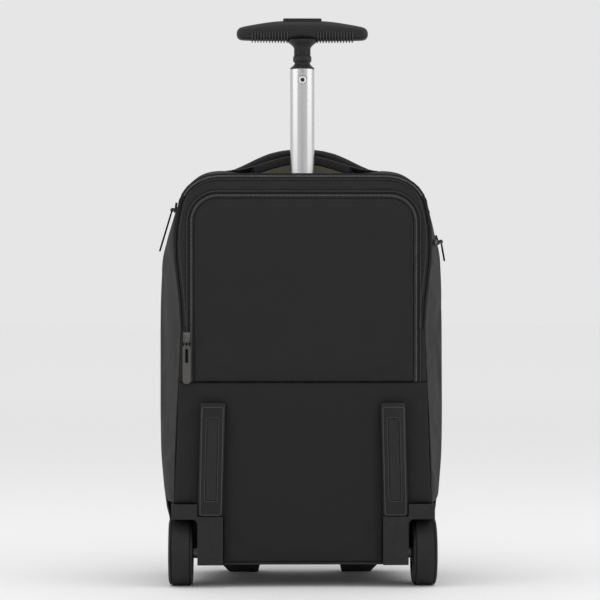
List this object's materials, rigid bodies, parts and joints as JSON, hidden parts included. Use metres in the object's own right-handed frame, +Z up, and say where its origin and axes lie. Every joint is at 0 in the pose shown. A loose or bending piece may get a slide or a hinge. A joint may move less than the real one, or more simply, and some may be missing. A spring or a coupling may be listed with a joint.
{
  "type": "wheeled backpack",
  "caption": "Soft cabin-size backpack on a base with two rear wheels, two front feet, a grab handle and a single-pole telescopic T-handle.",
  "frame": {"origin": "on the floor under the middle of the whole object's box", "axes": "+Z up, +X to the right of the wheeled rear face, which looks towards -Y"},
  "size_m": [0.3449, 0.22, 0.6756],
  "materials": {
    "main_cloth": "fine plain weave, near black",
    "side_cloth": "fine plain weave, dark grey",
    "smooth_cloth": "smooth coated cloth, near black",
    "zip_tape": "woven zip tape with coil",
    "binding": "ribbed binding tape",
    "lining": "khaki lining cloth",
    "base_plastic": "fine matte grain",
    "guard_plastic": "fine matte grain",
    "hub_plastic": "matte",
    "wheel_rubber": "smooth tread, matte",
    "pole_aluminium": "satin, brushed along its length",
    "screw_steel": "satin",
    "grip_plastic": "soft matte",
    "pull_metal": "satin gunmetal grey"
  },
  "bodies": {
    "bag": {"rear_border": "main_cloth", "strap_flap": "main_cloth", "flap_zip": "zip_tape", "rear_lower_panel": "smooth_cloth", "perimeter_zip": "zip_tape", "side_left": "side_cloth", "side_right": "side_cloth", "top_panel": "side_cloth", "front_panel": "side_cloth", "base_tray": "base_plastic", "side_zip": "zip_tape", "slot_binding": "binding", "slot_lining": "lining", "grab_handle": "main_cloth", "guide_tube": "base_plastic", "housing_left": "base_plastic", "housing_right": "base_plastic", "axle_left": "base_plastic", "axle_right": "base_plastic", "foot_left": "base_plastic", "foot_right": "base_plastic", "guard_left": "guard_plastic", "guard_right": "guard_plastic", "guard_inset_left": "guard_plastic", "guard_inset_right": "guard_plastic", "slider_low": "pull_metal", "slider_high": "pull_metal", "slider_side": "pull_metal"},
    "handle": {"pole": "pole_aluminium", "screw": "screw_steel", "grip": "grip_plastic"},
    "button": {"release_button": "grip_plastic"},
    "wheel_left": {"hub_left": "hub_plastic", "tyre_left": "wheel_rubber"},
    "wheel_right": {"hub_right": "hub_plastic", "tyre_right": "wheel_rubber"},
    "low_pull": {"pull_low": "pull_metal"},
    "high_pull": {"pull_high": "pull_metal"},
    "side_pull": {"pull_side": "pull_metal"}
  },
  "joints": [
    {"name": "handle_slide", "type": "slide", "parent": "bag", "child": "handle", "axis": [0, 0, 1], "range_m": [-0.148, 0.22]},
    {"name": "button_press", "type": "slide", "parent": "handle", "child": "button", "axis": [0, 0, -1], "range_m": [0, 0.0024], "stiffness_N_per_m": 400, "springref_m": -0.002},
    {"name": "wheel_left_spin", "type": "hinge", "parent": "bag", "child": "wheel_left", "pos_m": [-0.1445, -0.07, 0.04], "axis": [1, 0, 0], "continuous": true},
    {"name": "wheel_right_spin", "type": "hinge", "parent": "bag", "child": "wheel_right", "pos_m": [0.1445, -0.07, 0.04], "axis": [1, 0, 0], "continuous": true},
    {"name": "low_pull_swing", "type": "hinge", "parent": "bag", "child": "low_pull", "pos_m": [-0.1371, -0.1055, 0.29174], "axis": [-1, 0, 0], "range_deg": [0, 150]},
    {"name": "high_pull_swing", "type": "hinge", "parent": "bag", "child": "high_pull", "pos_m": [-0.1546, -0.08987, 0.44573], "axis": [0, 1, 0], "range_deg": [0, 110]},
    {"name": "side_pull_swing", "type": "hinge", "parent": "bag", "child": "side_pull", "pos_m": [0.16963, -0.01535, 0.41022], "axis": [0, -1, 0], "range_deg": [0, 110]}
  ]
}
